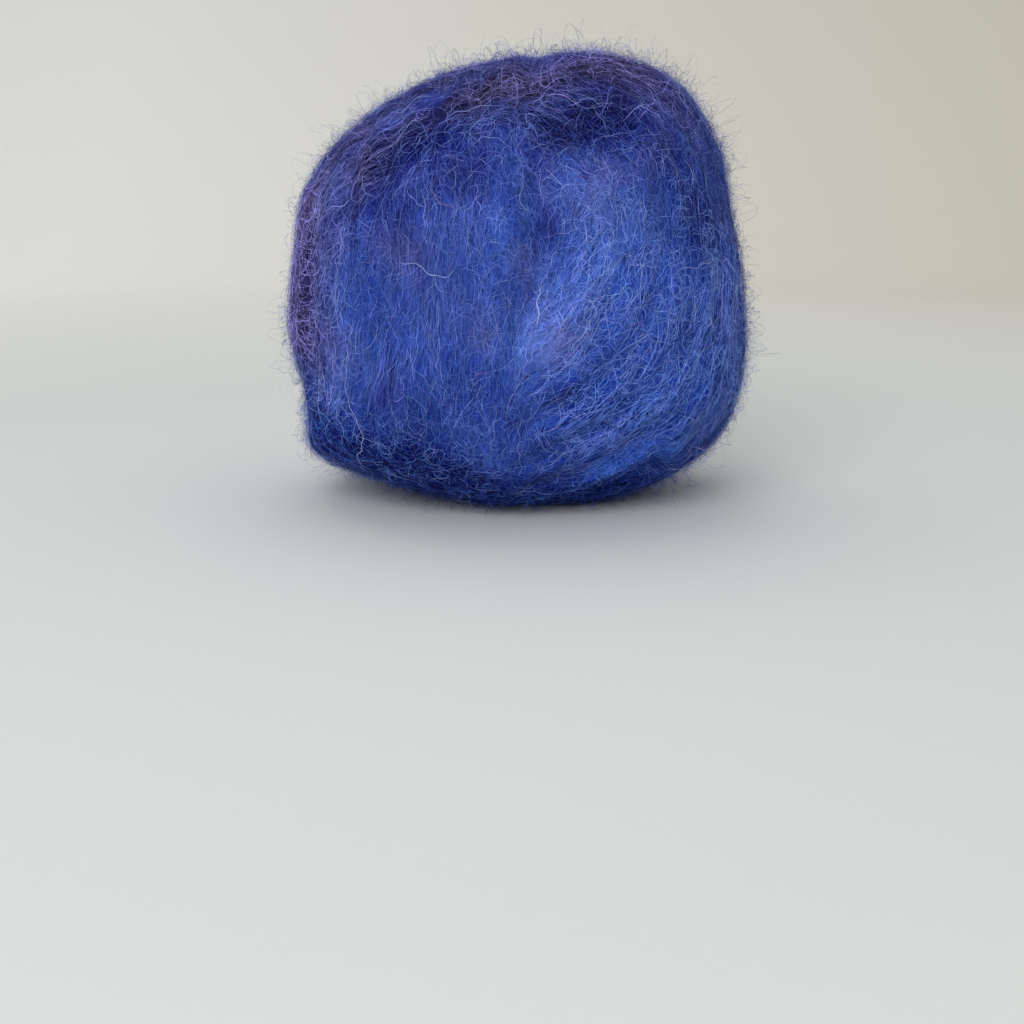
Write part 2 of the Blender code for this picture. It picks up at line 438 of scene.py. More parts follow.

# Places that are darker, lighter or more purple than the rest, from start to end, in millimetres
# across and up from the centre. Lighter and darker are painted light and shade: painted highlights on
# the lobe and the wrap, and painted shade in the pocket, the groove, on top, on the underside and at
# the lower left. A purple below 0 makes the wool a purer blue. Contrast is how much more the fibres
# differ from the wool about them.
LightShadeTintPatch = namedtuple("LightShadeTintPatch", "name side start end half_width lighter purple contrast")
PAINTED_LIGHT_SHADE_AND_TINT = (
    LightShadeTintPatch("lobe_light", -1, (8, -13), (19, 15), 8.5, 0.26, 0.10, 0.0),
    LightShadeTintPatch("lobe_top", -1, (16, 22), (19, 29), 5.0, 0.10, 0.2, 0.0),
    LightShadeTintPatch("wrap_light", -1, (-27, 2), (-8, -3), 11.0, 0.12, 0.06, -0.2),
    LightShadeTintPatch("wrap_edge", -1, (-45.5, 12), (-46, -26), 4.0, 0.22, 0.20, 0.2),
    LightShadeTintPatch("top_left", -1, (-41, 34), (-12, 50), 9.0, -0.32, 0.50, 1.0),
    LightShadeTintPatch("top_right", -1, (0, 54), (28, 52), 14.0, -0.20, 0.78, 1.0),
    LightShadeTintPatch("top_left_rim", -1, (-49, 37), (-22, 58), 7.5, -0.26, 0.62, 0.4),
    LightShadeTintPatch("top_rim", -1, (-14, 61), (24, 58), 7.0, -0.17, 0.45, 0.4),
    LightShadeTintPatch("pocket", -1, (8, 40), (24, 42), 5.5, -0.46, 0.15, 0.6),
    LightShadeTintPatch("groove", -1, (5, 36), (7, 18), 4.0, -0.09, 0.20, 0.0),
    LightShadeTintPatch("upper_left", -1, (-42, 22), (-34, 19), 5.0, -0.10, 0.0, 0.0),
    LightShadeTintPatch("upper_mid", -1, (-34, 28), (-14, 33), 9.0, -0.15, 0.22, 0.2),
    LightShadeTintPatch("upper_wrap", -1, (-26, 14), (-12, 20), 9.0, -0.06, 0.10, 0.0),
    LightShadeTintPatch("wrap_violet", -1, (-36, 14), (-28, 10), 4.5, -0.02, 0.35, 0.0),
    LightShadeTintPatch("right_shade", -1, (38, 28), (48, 14), 7.0, -0.10, -0.10, 0.8),
    LightShadeTintPatch("upper_dark", -1, (-34, 33), (-20, 39), 5.5, -0.28, -0.15, 0.3),
    LightShadeTintPatch("valley", -1, (-3, 18), (0, 11), 5.5, 0.17, -0.20, 0.0),
    LightShadeTintPatch("lobe_low", -1, (17, -4), (13, -19), 5.0, 0.12, 0.0, 0.2),
    LightShadeTintPatch("lobe_foot", -1, (12, -25), (19, -30), 5.0, -0.25, 0.0, 0.2),
    LightShadeTintPatch("right_foot", -1, (22, -46), (36, -41), 6.5, 0.42, -1.1, 1.2),
    LightShadeTintPatch("left_strip", -1, (-57, 18), (-58, -10), 13.0, 0.06, 0.90, 2.3),
    LightShadeTintPatch("low_left", -1, (-46, -36), (-25, -45), 10.5, -0.53, -1.2, 2.3),
    LightShadeTintPatch("bottom", -1, (-15, -52), (24, -53), 8.5, -0.46, -1.0, 1.5),
    LightShadeTintPatch("low_spot", -1, (-34, -23), (-33, -25), 6.0, -0.10, 0.20, 0.0),
    LightShadeTintPatch("centre_shade", -1, (-4, 3), (-3, -10), 5.0, -0.09, -0.10, 0.0),
    LightShadeTintPatch("right_mid", -1, (22, 4), (45, -4), 11.0, 0.09, -0.5, 0.9),
    LightShadeTintPatch("right_low", -1, (20, -31), (43, -24), 13.0, 0.18, -0.8, 2.1),
    LightShadeTintPatch("right_rim", -1, (52, 9), (55, -22), 8.0, 0.20, -0.25, 1.6),
    LightShadeTintPatch("back_light", 1, (-20, 10), (6, -24), 12.0, 0.14, 0.0, 0.0),
    LightShadeTintPatch("back_shade", 1, (20, 34), (40, 10), 9.0, -0.18, 0.20, 0.5),
)


RAGGED_LOW = 0.2        # least cover from which a turn shows on top
RAGGED_HIGH = 0.8       # most cover that it needs for that, as its edge is ragged
TURN_APART = 400.0      # keeps the places on one turn away from those on the next, in millimetres


def topmost_turn(rays):
    """Number in the lie of the wool of what lies on top at each ray, with ragged edges."""
    top = np.zeros(len(rays), dtype=int)
    ragged = RAGGED_LOW + (RAGGED_HIGH - RAGGED_LOW) * field_noise(RAGGED_FIELD, rays)
    for place, (turn, number) in enumerate(LIE):
        cover = turn_cover(turn, *turn_angles(turn, rays), number)
        top[cover > ragged] = place
    return top


def girth(turn):
    """Length of the middle of a turn, once round the ball."""
    return 2.0 * math.pi * MEAN_RADIUS * math.sin(math.radians(turn.middle))


def run_of_wool(rays, top):
    """Place of each ray along and across what lies on top of it, in millimetres."""
    run = np.zeros((len(rays), 2))
    for place, (turn, _) in enumerate(LIE):
        chosen = top == place
        from_pole, along = turn_angles(turn, rays[chosen])
        run[chosen, 0] = along / 360.0 * girth(turn)
        run[chosen, 1] = np.radians(from_pole) * MEAN_RADIUS + TURN_APART * place
    return run


def light_shade_tint_sums(rays):
    """How much the patches' painted light and shade make the wool lighter, and how much more purple
    and higher in contrast they make it, at the rays.
    """
    changes = [(row.lighter, row.purple, row.contrast) for row in PAINTED_LIGHT_SHADE_AND_TINT]
    return (near_places(PAINTED_LIGHT_SHADE_AND_TINT, rays) @ changes).T


def shade(level):
    """Colour of wool at a level from dark (0) to light (1)."""
    levels, *channels = np.array(SHADES).T
    return np.stack([np.interp(level, levels, channel) for channel in channels], axis=-1)


def mixed(colours, other, share):
    """Colours moved towards another by a share for each, at their own lightness."""
    goal = np.array(other) * ((colours @ EYE) / (np.array(other) @ EYE))[:, None]
    return colours + np.clip(share, 0.0, 1.0)[:, None] * (goal - colours)


def wool_colour(rays, further=0.0):
    """Colour of the wool at the rays, with its slow drift, its streaks, and its patches of painted
    light and shade and of purple.
    """
    # lighter holds the patches' painted light and shade.
    lighter, purple, contrast = light_shade_tint_sums(rays)
    streaks = blend(streak_noise, STREAKS, run_of_wool(rays, topmost_turn(rays)))
    level = MEAN_LEVEL + lighter + DRIFT * blend(field_noise, DRIFTS, rays)
    level += STREAK * streaks * (1.0 - STREAK_CALM * np.clip(contrast, 0.0, 1.0))
    level += further * (1.0 + contrast)
    purple = purple + VIOLET_GAIN * np.clip(field_noise(VIOLET_FIELD, rays) - VIOLET_FROM, 0.0, 1.0)
    bluer = np.clip(-purple, 0.0, 1.0)[:, None]
    return mixed(shade(level), PURPLE_WOOL, purple) * (1.0 + bluer * BLUER)


# ------------------------------------------------------------------------------
# Materials
# ------------------------------------------------------------------------------


SHEEN_ROUGHNESS = 0.5
SHEEN_TINT = (0.62, 0.62, 0.85, 1.0)
NOISE_LOW = 0.3         # the noise texture seldom goes below this
NOISE_HIGH = 0.7        # nor above this


def new_material(name, roughness, specular, sheen):
    """Dull material with a little soft shine at its edges."""
    material = bpy.data.materials.new(name)
    material.use_nodes = True
    shader = material.node_tree.nodes["Principled BSDF"]
    shader.inputs["Roughness"].default_value = roughness
    shader.inputs["Specular IOR Level"].default_value = specular
    shader.inputs["Sheen Weight"].default_value = sheen
    shader.inputs["Sheen Roughness"].default_value = SHEEN_ROUGHNESS
    shader.inputs["Sheen Tint"].default_value = SHEEN_TINT
    return material, shader


def add_node(material, kind, **inputs):
    """New node with its inputs set by name, _ for a space. A socket given as a value is linked."""
    node = material.node_tree.nodes.new(kind)
    for name, value in inputs.items():
        socket = node.inputs[name.replace("_", " ")]
        if isinstance(value, bpy.types.NodeSocket):
            material.node_tree.links.new(value, socket)
        else:
            socket.default_value = value
    return node


def spread(material, factor, low, high):
    """Noise factor moved from its usual range to between low and high."""
    node = add_node(
        material, "ShaderNodeMapRange",
        Value=factor, From_Min=NOISE_LOW, From_Max=NOISE_HIGH, To_Min=low, To_Max=high,
    )
    return node.outputs[0]


def scaled_tint(material, factor):
    """Colour of the mesh's own tint, made lighter or darker by the factor."""
    tint = add_node(material, "ShaderNodeVertexColor")
    tint.layer_name = "Tint"
    scaled = material.node_tree.nodes.new("ShaderNodeVectorMath")
    scaled.operation = "SCALE"
    material.node_tree.links.new(tint.outputs["Color"], scaled.inputs[0])
    material.node_tree.links.new(factor, scaled.inputs["Scale"])
    return scaled.outputs[0]


STRAND_FINENESS = (160.0, 1100.0, 1.0)  # cells of noise in a metre along and across the wool
FIBRE_FINENESS = 420.0                  # cells of noise in a metre of fibre


def wool_surface_material():
    """Carded wool beneath the loose fibres: fine soft streaks along the turns."""
    material, shader = new_material("wool_surface", roughness=0.95, specular=0.03, sheen=0.03)
    links = material.node_tree.links
    run = add_node(material, "ShaderNodeUVMap")
    run.uv_map = "WoolRun"
    stretched = add_node(
        material, "ShaderNodeMapping", Vector=run.outputs["UV"], Scale=STRAND_FINENESS
    )
    strands = add_node(
        material, "ShaderNodeTexNoise",
        Vector=stretched.outputs[0], Scale=1.0, Detail=5.0, Distortion=1.2,
    )
    lightness = spread(material, strands.outputs["Fac"], low=0.60, high=1.45)
    links.new(scaled_tint(material, lightness), shader.inputs["Base Color"])
    bump = add_node(
        material, "ShaderNodeBump", Strength=0.5, Distance=0.5 * MM, Height=strands.outputs["Fac"]
    )
    links.new(bump.outputs["Normal"], shader.inputs["Normal"])
    return material


def fibre_material():
    """Single fibres, each with its own tint from the mesh, a little uneven along its length."""
    material, shader = new_material("wool_fibres", roughness=0.7, specular=0.07, sheen=0.03)
    place = add_node(material, "ShaderNodeTexCoord").outputs["Object"]
    uneven = add_node(material, "ShaderNodeTexNoise", Vector=place, Scale=FIBRE_FINENESS, Detail=1.0)
    lightness = spread(material, uneven.outputs["Fac"], low=0.78, high=1.22)
    material.node_tree.links.new(scaled_tint(material, lightness), shader.inputs["Base Color"])
    return material


def write_tint(data, colours):
    """Write one colour for each point of the mesh."""
    rgba = np.ones((len(colours), 4), dtype=np.float32)
    rgba[:, :3] = colours
    tint = data.color_attributes.new(name="Tint", type="FLOAT_COLOR", domain="POINT")
    tint.data.foreach_set("color", rgba.ravel())


def write_uv(data, name, coordinates):
    """New UV map from one coordinate pair for each face corner."""
    layer = data.uv_layers.new(name=name)
    layer.uv.foreach_set("vector", coordinates.astype(np.float32).ravel())


# ------------------------------------------------------------------------------
# Wool surface
# ------------------------------------------------------------------------------

SURFACE_STEPS = 110     # quads along each side of the cube that the surface is blown up from
SURFACE_SINK = 0.4      # how far the surface lies under the form, to leave room for the fibres
STRAND_RELIEF = 0.40    # height of the fine ridges along the lie of the wool
BAKE_HALF = 0.49        # half of the share of its cell in the map that a side of the cube fills


def strand_relief(rays):
    """Fine ridges along the topmost turn, as uneven as carded wool."""
    return STRAND_RELIEF * blend(streak_noise, STRANDS, run_of_wool(rays, topmost_turn(rays)))


def bake_map(cube, quads):
    """Map of the six sides of the cube, three across and two up, with a little room between them."""
    corners = cube[quads]
    middle = corners.mean(axis=1)
    axis = np.abs(middle).argmax(axis=1)
    positive = np.take_along_axis(middle, axis[:, None], axis=1)[:, 0] > 0.0
    others = [((axis + further) % 3)[:, None, None].repeat(4, axis=1) for further in (1, 2)]
    flat = [np.take_along_axis(corners, other, axis=2) for other in others]
    within = 0.5 + BAKE_HALF * np.concatenate(flat, axis=2)
    column = axis[:, None].repeat(4, axis=1)
    row = positive[:, None].repeat(4, axis=1)
    return np.stack(((column + within[..., 0]) / 3.0, (row + within[..., 1]) / 2.0), axis=2)


def run_map(rays, quads):
    """Place of each face corner along and across the turn that the face belongs to, in metres."""
    middle = unit(rays[quads].mean(axis=1))
    top = topmost_turn(middle)
    centre = run_of_wool(middle, top)[:, None, 0]
    corners = run_of_wool(rays[quads].reshape(-1, 3), top.repeat(4)).reshape(-1, 4, 2)
    once_round = np.array([girth(turn) for turn, _ in LIE])[top][:, None]
    corners[..., 0] -= once_round * np.round((corners[..., 0] - centre) / once_round)
    return corners * MM


def wool_surface():
    """The closed surface of the ball, with the fine ridges that the fibres lie in."""
    cube, rays = cube_rays(SURFACE_STEPS)
    cube_points = np.array([vertex.co for vertex in cube.verts])
    quads = np.array([[vertex.index for vertex in face.verts] for face in cube.faces])
    cube.free()
    points = rays * (ball_reach(rays) - SURFACE_SINK + strand_relief(rays))[:, None]
    keep_on_floor(points, 0.0)
    piece = mesh_of_quads("wool_surface", points, quads)
    # The surface's tint is painted darker than the fibres', as shade between them.
    write_tint(piece.data, wool_colour(rays, SURFACE_PAINTED_SHADE))
    write_uv(piece.data, "OFBake", bake_map(cube_points, quads))
    write_uv(piece.data, "WoolRun", run_map(rays, quads))
    piece.data.materials.append(wool_surface_material())
    return piece


# ------------------------------------------------------------------------------
# Fibres
# ------------------------------------------------------------------------------

# A layer of fibres: how many, their length and points, their width, how high they lie (low to high),
# how far they stray from the lie of the wool (degrees), how fast they curl (degrees a millimetre),
# the depth and length of their crimp, how far they rise off the ball, and their level of colour.
Layer = namedtuple("Layer", "name count length points width low high stray curl crimp wave rise level")
# The level of colour rises from the under layer to the halo: painted shade deep in the wool, and
# painted light and sheen on the outer fuzz.
LAYERS = (
    Layer("fibres_under", 9000, 15.0, 7, 0.17, -0.40, 0.10, 8.0, 1.0, 0.20, 9.0, 0.0, -0.02),
    Layer("fibres_laid", 13500, 9.0, 7, 0.12, -0.10, 0.55, 16.0, 4.0, 0.28, 5.5, 0.0, 0.07),
    Layer("fibres_outer", 11000, 9.0, 9, 0.085, 0.10, 0.90, 26.0, 8.0, 0.32, 4.5, 0.3, 0.15),
    Layer("fibres_fuzz", 16500, 5.0, 7, 0.075, 0.10, 1.10, 52.0, 18.0, 0.22, 3.5, 1.1, 0.20),
    Layer("fibres_halo", 10500, 7.0, 10, 0.068, 0.20, 1.10, 65.0, 16.0, 0.30, 4.0, 1.9, 0.22),
)
LENGTHS = (0.6, 1.4)    # least and most of the layer's length that a fibre has
WAVES = (0.7, 1.6)      # least and most of the layer's length of crimp
CRIMPS = (0.3, 1.5)     # least and most of the layer's depth of crimp
WIDTHS = (0.6, 1.3)     # least and most of the layer's width
TIP_WIDTH = 0.2         # width at a fibre's tips, as a share of that in its middle
WOBBLE = 3.0            # degrees that a fibre turns at random at each step
WOBBLE_CURL = 0.6       # degrees more of that for each degree of its layer's curl
CRIMP_UP = 0.4          # share of the crimp's depth that also goes up and down
CRIMP_UP_PACE = 1.3     # how much faster than sideways it does so
RISE_SHAPE = 1.4        # shape of the gamma distribution of the rise: many fibres low, few high
RISE_SCALE = 0.7        # and its scale
ARCHED = 0.85           # share of the raised fibres whose two ends both lie on the ball
LEVEL_SPREAD = 0.17     # how far the level differs from fibre to fibre
FIBRE_ROLL = 45.0       # how far the ribbons are rolled about their run, to either side, in degrees
SHADING_TILT = 0.22     # how far their shading leans to the side, as a slope
FLOOR_GAP = 0.15        # least height of a fibre above the floor
MAP_COLUMNS = 190       # ribbons side by side in the map
FIRST_SEED = 100        # seed of the first layer; each other layer has the next number
CELL_MARGIN = (0.2, 0.1)    # share of a ribbon's cell that is left empty at each side and end

# Kinds of fibre that the wool is heathered with: their share, their tint and how much of it they
# take, and how much lighter they are. All others have the colour of the wool about them.
Kind = namedtuple("Kind", "name share tint take lighter")
KINDS = (
    Kind("navy", 0.09, (0.013, 0.028, 0.200), 0.0, -0.22),
    Kind("pale", 0.08, (0.230, 0.310, 0.640), 0.4, 0.28),
    Kind("lavender", 0.015, (0.260, 0.255, 0.520), 0.7, 0.34),
    Kind("violet", 0.04, (0.090, 0.060, 0.300), 0.5, 0.0),
    Kind("magenta", 0.004, (0.140, 0.060, 0.200), 0.7, 0.0),
    Kind("teal", 0.04, (0.020, 0.110, 0.300), 0.5, 0.0),
)

# Places where the fibres stand up more than the rest, or less so, given as the patches are.
Place = namedtuple("Place", "name side start end half_width more")
FLUFFS = (
    Place("top_right", -1, (18, 58), (48, 37), 12.0, 0.6),
    Place("top_right_back", 1, (18, 58), (48, 37), 12.0, 0.5),
    Place("tuft", -1, (47, 40), (49, 38), 4.0, 0.3),
    Place("front", -1, (-20, 0), (20, 0), 36.0, -0.55),
    Place("left_strip", -1, (-58, 24), (-58, -24), 9.0, -0.35),
)
FLUFF_LIMITS = (0.2, 4.0)

# Places where the fibres stray and curl more than the rest, or less so.
TANGLES = (
    Place("net", -1, (-44, -36), (-6, -42), 12.0, 2.3),
    Place("left_strip", -1, (-57, 18), (-58, -10), 13.0, 1.1),
    Place("pocket", -1, (8, 42), (28, 38), 8.0, 0.9),
    Place("right_arch", -1, (20, 24), (30, 12), 7.0, 0.8),
    Place("front", -1, (-25, 14), (-22, -12), 14.0, -0.35),
    Place("lobe", -1, (8, -12), (18, 8), 9.0, -0.35),
    Place("right_rim", -1, (41, 34), (57, 2), 12.0, 0.8),
    Place("top", -1, (2, 51), (27, 50), 11.0, 0.4),
    Place("back_net", 1, (30, -20), (8, -40), 12.0, 0.7),
)
TANGLE_LIMITS = (0.3, 3.0)


def fluff(rays):
    """How far the raised fibres stand up at the rays, as a share of the usual."""
    more = near_places(FLUFFS, rays) @ [row.more for row in FLUFFS]
    return np.clip(0.5 + field_noise(FLUFF_FIELD, rays) + more, *FLUFF_LIMITS)


def tangle(rays):
    """How far the fibres stray and curl at the rays, as a share of the usual."""
    more = near_places(TANGLES, rays) @ [row.more for row in TANGLES]
    return np.clip(0.5 + field_noise(TANGLE_FIELD, rays) + more, *TANGLE_LIMITS)


def random_rays(count, rng):
    """Rays spread evenly in all directions."""
    return unit(rng.normal(size=(count, 3)))


def fibre_paths(layer, rng):
    """Rays along each fibre, and the length of its steps, walked along the lie of the wool."""
    rays = random_rays(layer.count, rng)
    length = layer.length * rng.uniform(*LENGTHS, layer.count)
    step = length / (layer.points - 1)
    loose = tangle(rays)
    lean = np.radians(rng.normal(0.0, layer.stray, layer.count)) * loose
    curl = np.radians(rng.normal(0.0, layer.curl, layer.count)) * step * loose
    wobble = np.radians(WOBBLE + WOBBLE_CURL * layer.curl) * loose
    path = np.empty((layer.points, layer.count, 3))
    flow = np.zeros((layer.count, 3))
    for index in range(layer.points):
        path[index] = rays
        onward = lie_of_wool(rays)
        flow = onward * same_way(onward, flow)
        side = np.cross(rays, flow)
        heading = np.cos(lean)[:, None] * flow + np.sin(lean)[:, None] * side
        rays = unit(rays + heading * (step / MEAN_RADIUS)[:, None])
        lean += curl + rng.normal(0.0, wobble, layer.count)
    return path, step


def fibre_points(layer, rng):
    """Points of each fibre, the normals of the ball under them, and the rays of their middles."""
    path, step = fibre_paths(layer, rng)
    flat = path.reshape(-1, 3)
    reach = ball_reach(flat)
    normals = surface_normals(flat, reach).reshape(path.shape)
    points = (flat * reach[:, None]).reshape(path.shape)
    sides = unit(np.cross(normals, unit(np.gradient(points, axis=0))))

    share = np.linspace(0.0, 1.0, layer.points)[:, None]
    gone = np.arange(layer.points)[:, None] * step
    wave = layer.wave * rng.uniform(*WAVES, layer.count)
    phase = rng.uniform(0.0, 2.0 * np.pi, (2, layer.count))
    crimp = layer.crimp * rng.uniform(*CRIMPS, layer.count)
    turned = 2.0 * np.pi * gone / wave
    sideways = crimp * np.sin(turned + phase[0])
    height = rng.uniform(layer.low, layer.high, layer.count)
    height = height + CRIMP_UP * crimp * np.sin(CRIMP_UP_PACE * turned + phase[1])
    arched = rng.random(layer.count) < ARCHED
    lift = np.where(arched, np.sin(np.pi * share), smooth_step(share) * share)
    middles = path[layer.points // 2]
    rise = layer.rise * fluff(middles) * rng.gamma(RISE_SHAPE, RISE_SCALE, layer.count)
    height = height + rise * lift
    points = points + sides * sideways[..., None] + normals * height[..., None]
    return points, normals, middles


def fibre_tints(layer, rays, rng):
    """Colour of each fibre: that of the wool about it, or of its kind."""
    further = layer.level + rng.normal(0.0, LEVEL_SPREAD, layer.count)
    pick = rng.random(layer.count)
    below = 0.0
    takes = []
    for kind in KINDS:
        chosen = (pick >= below) & (pick < below + kind.share)
        below += kind.share
        further[chosen] += kind.lighter
        takes.append((kind.tint, np.where(chosen, kind.take, 0.0)))
    colours = wool_colour(rays, further)
    for tint, take in takes:
        colours = mixed(colours, tint, take)
    return colours


def ribbon_map(points, count):
    """Map with one small upright cell for each ribbon."""
    side, end = CELL_MARGIN
    rows = math.ceil(count / MAP_COLUMNS)
    row, column = np.divmod(np.arange(count), MAP_COLUMNS)
    left = (column + side) / MAP_COLUMNS
    right = (column + 1.0 - side) / MAP_COLUMNS
    low = (row + end) / rows
    height = (1.0 - 2.0 * end) / rows * np.arange(points) / (points - 1)
    near = (low[:, None] + height[:-1]).ravel()
    far = (low[:, None] + height[1:]).ravel()
    left = left.repeat(points - 1)
    right = right.repeat(points - 1)
    corners = ((left, near), (right, near), (right, far), (left, far))
    return np.stack([np.stack(corner, axis=1) for corner in corners], axis=1)


def ribbons(name, points, normals, width, most_roll, colours, material, rng):
    """Thin tapered ribbons along rows of points, shaded as softly as the ball beneath them."""
    length, count = points.shape[:2]
    runs = unit(np.gradient(points, axis=0))
    roll = np.radians(rng.uniform(-most_roll, most_roll, count))[None, :, None]
    facing = unit(np.cos(roll) * normals + np.sin(roll) * np.cross(runs, normals))
    broad = unit(np.cross(facing, runs))
    share = np.linspace(0.0, 1.0, length)[:, None, None]
    taper = np.clip(np.sin(np.pi * share), 0.0, 1.0) ** 0.5 * (1.0 - TIP_WIDTH) + TIP_WIDTH
    half = 0.5 * width * rng.uniform(*WIDTHS, count)[None, :, None] * taper
    edges = np.stack((points - broad * half, points + broad * half), axis=2)
    edges = edges.transpose(1, 0, 2, 3).reshape(-1, 3)
    keep_on_floor(edges, FLOOR_GAP)

    first = (np.arange(count)[:, None] * length + np.arange(length - 1)) * 2
    quads = np.stack((first + 1, first, first + 2, first + 3), axis=2).reshape(-1, 4)
    piece = mesh_of_quads(name, edges, quads)
    tilt = rng.normal(0.0, SHADING_TILT, count)[None, :, None]
    shading = unit(normals + tilt * np.cross(runs, normals)).transpose(1, 0, 2)
    piece.data.normals_split_custom_set_from_vertices(shading.reshape(-1, 3).repeat(2, axis=0))

    write_tint(piece.data, colours.repeat(length * 2, axis=0))
    write_uv(piece.data, "OFBake", ribbon_map(length, count))
    piece.data.materials.append(material)
    return piece


def fibres(layer, seed, material):
    """A layer of fibres as one mesh."""
    rng = np.random.default_rng(seed)
    points, normals, middles = fibre_points(layer, rng)
    colours = fibre_tints(layer, middles, rng)
    return ribbons(layer.name, points, normals, layer.width, FIBRE_ROLL, colours, material, rng)


# Loose hairs that stand out in front: their way over the ball in millimetres across and up from
# the centre, and their colour.
PALE_HAIR = (0.430, 0.480, 0.710)
CURL_HAIR = (0.200, 0.255, 0.560)
SOFT_HAIR = (0.150, 0.190, 0.480)
ROSE_HAIR = (0.190, 0.110, 0.270)
Hair = namedtuple("Hair", "name colour way")
HAIRS = (
    Hair("light_curl", CURL_HAIR, ((-30, 8), (-28, 8), (-25, 7), (-23, 5.5), (-21, 5), (-18.5, 5),
                                   (-17, 6.5))),
    Hair("long_wave", PALE_HAIR, ((-43.5, -12), (-43, -16), (-42.8, -20), (-41.5, -24), (-38.5, -27.5),
                                  (-36.6, -31), (-37, -35), (-39, -38), (-38.2, -41), (-36.6, -44),
                                  (-38.8, -49))),
    Hair("side_wave", SOFT_HAIR, ((-36, -32), (-36.5, -30), (-39, -28), (-43, -28))),
    Hair("right_arch", SOFT_HAIR, ((25, 9), (26, 8), (28, 7), (30, 7), (32, 7), (34, 6))),
    Hair("right_cross", SOFT_HAIR, ((38, 6), (40, 6), (43, 6.5), (47, 7.5), (50, 8.5))),
    Hair("rose_hair", ROSE_HAIR, ((-21, 29), (-21.5, 26), (-20.5, 23.5), (-19, 22), (-17, 21))),
    Hair("upright_hair", SOFT_HAIR, ((-1, 34), (-0.5, 29), (-1, 24), (-0.5, 19))),
    Hair("low_hair", SOFT_HAIR, ((-6.5, -27), (-6.5, -31), (-7, -35), (-8, -39))),
    Hair("low_hair_two", SOFT_HAIR, ((-1.5, -31), (-1.5, -35), (-1, -39), (-2, -43))),
    Hair("rim_light", PALE_HAIR, ((38, -47), (42, -45), (45, -43), (47, -40), (50, -38))),
    Hair("rim_light_two", PALE_HAIR, ((43, -40), (45, -39), (47, -38), (49, -36))),
    Hair("bottom_sweep", SOFT_HAIR, ((3, -35), (5, -37), (7, -39), (11, -40), (15, -39.5))),
    Hair("strip_curl", SOFT_HAIR, ((-57, -12), (-56, -12), (-55, -13), (-51, -14))),
    Hair("strip_stem", SOFT_HAIR, ((-56, -6), (-56, -9), (-55.5, -11), (-54.5, -13))),
    Hair("top_hair", CURL_HAIR, ((-19, 43), (-16, 44), (-12, 45), (-7, 45))),
    Hair("cap_hair", SOFT_HAIR, ((11, 45), (14, 45.5), (17, 45), (20, 44))),
    Hair("lobe_hair", PALE_HAIR, ((5, 3), (5.5, 0), (5.5, -5), (4.5, -9))),
)
HAIR_POINTS = 49        # points along a hair
HAIR_SMOOTHINGS = 3     # how often its way is evened out
HAIR_WIDTH = 0.24
HAIR_ROLL = 10.0        # little roll, so that the broad side of a hair faces out
HAIR_CRIMP = 0.30       # depth of the small waves along it
HAIR_WAVE = 6.0         # length of these waves
HAIR_REST = 0.9         # height of its ends over the ball
HAIR_HEIGHT = 1.7       # how much higher its middle stands
HAIR_SEED = 90


def loose_hairs(seed, material):
    """The hairs of the table as one mesh."""
    rng = np.random.default_rng(seed)
    share = np.linspace(0.0, 1.0, HAIR_POINTS)
    ways = []
    for hair in HAIRS:
        across, up = np.array(hair.way).T
        place = np.linspace(0.0, 1.0, len(across))
        way = np.stack((np.interp(share, place, across), np.interp(share, place, up)), axis=1)
        for _ in range(HAIR_SMOOTHINGS):
            way[1:-1] = (way[:-2] + 2.0 * way[1:-1] + way[2:]) / 4.0
        ways.append(unit(np.array([surface_point(*point, -1) for point in way])))
    rays = np.stack(ways, axis=1)
    flat = rays.reshape(-1, 3)
    reach = ball_reach(flat)
    normals = surface_normals(flat, reach).reshape(rays.shape)
    height = HAIR_REST + HAIR_HEIGHT * np.sin(np.pi * share)[:, None, None]
    points = (flat * reach[:, None]).reshape(rays.shape) + normals * height
    runs = np.gradient(points, axis=0)
    gone = np.linalg.norm(runs, axis=2).cumsum(axis=0)
    wave = np.sin(2.0 * np.pi * gone / HAIR_WAVE + rng.uniform(0.0, 2.0 * np.pi, len(HAIRS)))
    points = points + unit(np.cross(normals, runs)) * HAIR_CRIMP * wave[..., None]
    colours = np.array([hair.colour for hair in HAIRS])
    return ribbons("loose_hairs", points, normals, HAIR_WIDTH, HAIR_ROLL, colours, material, rng)


# ------------------------------------------------------------------------------
# Floor, light and camera
# ------------------------------------------------------------------------------

FOCAL_PIXELS = 1406.0   # focal length in pixels of the 1024-pixel frame
FRAME_PIXELS = 1024.0
SENSOR = 36.0
CAMERA_AWAY = 411.0     # from the ball's centre, level
CAMERA_ABOVE = 25.6     # over the ball's centre
HORIZON_ROW = 190.0     # pixel row of the horizon
BALL_COLUMN = 522.5     # pixel column of the ball's centre

FLOOR_RADIUS = 900.0    # level part of the floor
SWEEP_RADIUS = 480.0    # bend between the floor and the wall
SWEEP_STEPS = 32
WALL_HEIGHT = 350.0
ROUND_STEPS = 96        # quads once round the floor

FLOOR_TONE = (0.632, 0.660, 0.665, 1.0)     # near the ball
LEFT_TONE = (0.930, 0.945, 0.930, 1.0)      # away from it, to the left
RIGHT_SHADED_TONE = (0.720, 0.700, 0.630, 1.0)     # away from it, to the right, painted darker as shade
AWAY_FROM, AWAY_TO = 0.25, 0.95             # metres from the ball over which the tone changes
LEFT_AT, RIGHT_AT = -0.45, 0.55             # metres across over which left becomes right

Lamp = namedtuple("Lamp", "name place size power colour spread")
LAMPS = (
    Lamp("front_light", (-290.0, -917.0, 552.0), 620.0, 2.35, (1.0, 0.99, 0.97), 100.0),
    Lamp("top_light", (-120.0, 330.0, 1080.0), 900.0, 2.9, (1.0, 0.985, 0.95), 180.0),
)
WORLD_COLOUR = (1.0, 0.99, 0.97, 1.0)
WORLD_STRENGTH = 0.58


